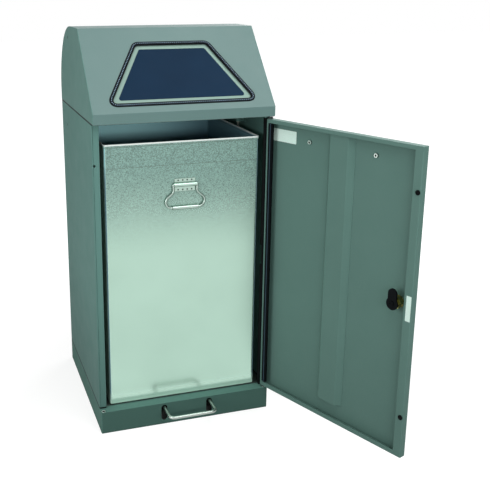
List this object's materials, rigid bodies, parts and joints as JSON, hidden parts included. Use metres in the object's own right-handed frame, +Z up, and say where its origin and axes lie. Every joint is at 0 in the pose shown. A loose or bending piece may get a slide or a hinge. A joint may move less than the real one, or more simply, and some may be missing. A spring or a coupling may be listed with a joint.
{
  "type": "pedal recycling bin",
  "caption": "Sheet steel recycling bin with a sloped hood, a foot-operated inward flap, a side-hung locking door and a galvanised lift-out container with a wire handle.",
  "frame": {"origin": "on the floor, under the middle of the cabinet's plinth", "axes": "+X to the right as seen from the front, +Y to the back, +Z up"},
  "size_m": [0.5525, 0.755, 0.885],
  "materials": {
    "paint_hood": "satin powder coat, light grey-green",
    "paint_body": "satin powder coat, grey-green",
    "paint_plinth": "satin powder coat, grey-green",
    "paint_door": "satin powder coat, grey-green",
    "paint_flap": "satin powder coat, pale grey-green",
    "paint_rivet": "satin powder coat, grey-green",
    "galvanised": "hot-dip galvanised with spangle",
    "zinc_steel": "zinc plated",
    "bright_steel": "bright drawn",
    "spring_steel": "drawn spring wire",
    "black_steel": "black oxide",
    "lock_metal": "satin",
    "nylon": "natural nylon",
    "trim_rubber": "blue-black, fine ribs",
    "black_rubber": "matt black",
    "navy_film": "printed film, navy blue"
  },
  "bodies": {
    "cabinet": {"plinth": "paint_plinth", "floor_plate": "paint_plinth", "cabinet_shell": "paint_body", "hood_cover": "paint_hood", "hood_cheek_left": "paint_hood", "hood_cheek_right": "paint_hood", "hood_straps": "zinc_steel", "strap_rivets": "paint_rivet", "floor_screws": "zinc_steel", "inlet_edge_trim": "trim_rubber", "flap_bearings": "zinc_steel", "flap_bushes": "nylon", "door_pin_lower": "zinc_steel", "door_pin_upper": "zinc_steel", "pedal_brackets": "zinc_steel", "pedal_bushes": "nylon", "bracket_screws": "zinc_steel", "rod_guides": "zinc_steel", "rod_guide_bushes": "nylon", "spring_anchor": "zinc_steel", "return_spring": "spring_steel"},
    "door": {"door_panel": "paint_door", "door_stiffener": "paint_door", "door_seal": "black_rubber", "door_bushes": "nylon", "door_buffers": "black_rubber", "door_studs": "zinc_steel", "door_stud_nuts": "zinc_steel", "lock_housing": "lock_metal", "lock_nut": "lock_metal"},
    "lock": {"lock_plug": "lock_metal", "lock_cam": "black_steel", "lock_cam_screw": "zinc_steel"},
    "flap": {"flap_panel": "paint_flap", "flap_film": "navy_film", "flap_lugs": "paint_flap", "flap_axle": "bright_steel", "flap_crank": "zinc_steel", "crank_pin": "bright_steel"},
    "pedal": {"pedal_bar": "bright_steel", "pedal_shaft": "bright_steel", "lever_arm": "zinc_steel", "lever_pin": "bright_steel"},
    "rod": {"push_rod": "bright_steel", "rod_end_top": "zinc_steel", "rod_end_bottom": "zinc_steel", "spring_collar": "zinc_steel"},
    "container": {"container": "galvanised", "handle_bracket": "galvanised"},
    "bail": {"handle_bail": "zinc_steel", "handle_grip": "galvanised"}
  },
  "joints": [
    {"name": "door_hinge", "type": "hinge", "parent": "cabinet", "child": "door", "pos_m": [0.1935, -0.19, 0.3745], "axis": [0, 0, 1], "range_deg": [-112.4, 6]},
    {"name": "lock_turn", "type": "hinge", "parent": "door", "child": "lock", "pos_m": [0.317, -0.51928, 0.378], "axis": [0.9245, 0.3811, 0], "range_deg": [0, 90]},
    {"name": "pedal_hinge", "type": "hinge", "parent": "cabinet", "child": "pedal", "pos_m": [0, -0.04, 0.04], "axis": [1, 0, 0], "range_deg": [0, 9]},
    {"name": "rod_slide", "type": "slide", "parent": "cabinet", "child": "rod", "axis": [0, -0.1306, 0.9914], "range_m": [0, 0.0157], "stiffness_N_per_m": 2000, "springref_m": -0.02, "deforming": ["return_spring"]},
    {"name": "flap_hinge", "type": "hinge", "parent": "cabinet", "child": "flap", "pos_m": [0, -0.06265, 0.85393], "axis": [1, 0, 0], "range_deg": [0, 55]},
    {"name": "container_slide", "type": "slide", "parent": "cabinet", "child": "container", "axis": [0, -1, 0], "range_m": [0, 0.36]},
    {"name": "bail_hinge", "type": "hinge", "parent": "container", "child": "bail", "pos_m": [0.003, -0.1786, 0.5578], "axis": [-1, 0, 0], "range_deg": [0, 90]}
  ],
  "couplings": [
    {"joint": "rod_slide", "follows": "pedal_hinge", "m_per_rad": 0.0999},
    {"joint": "flap_hinge", "follows": "pedal_hinge", "ratio": 6.111}
  ]
}
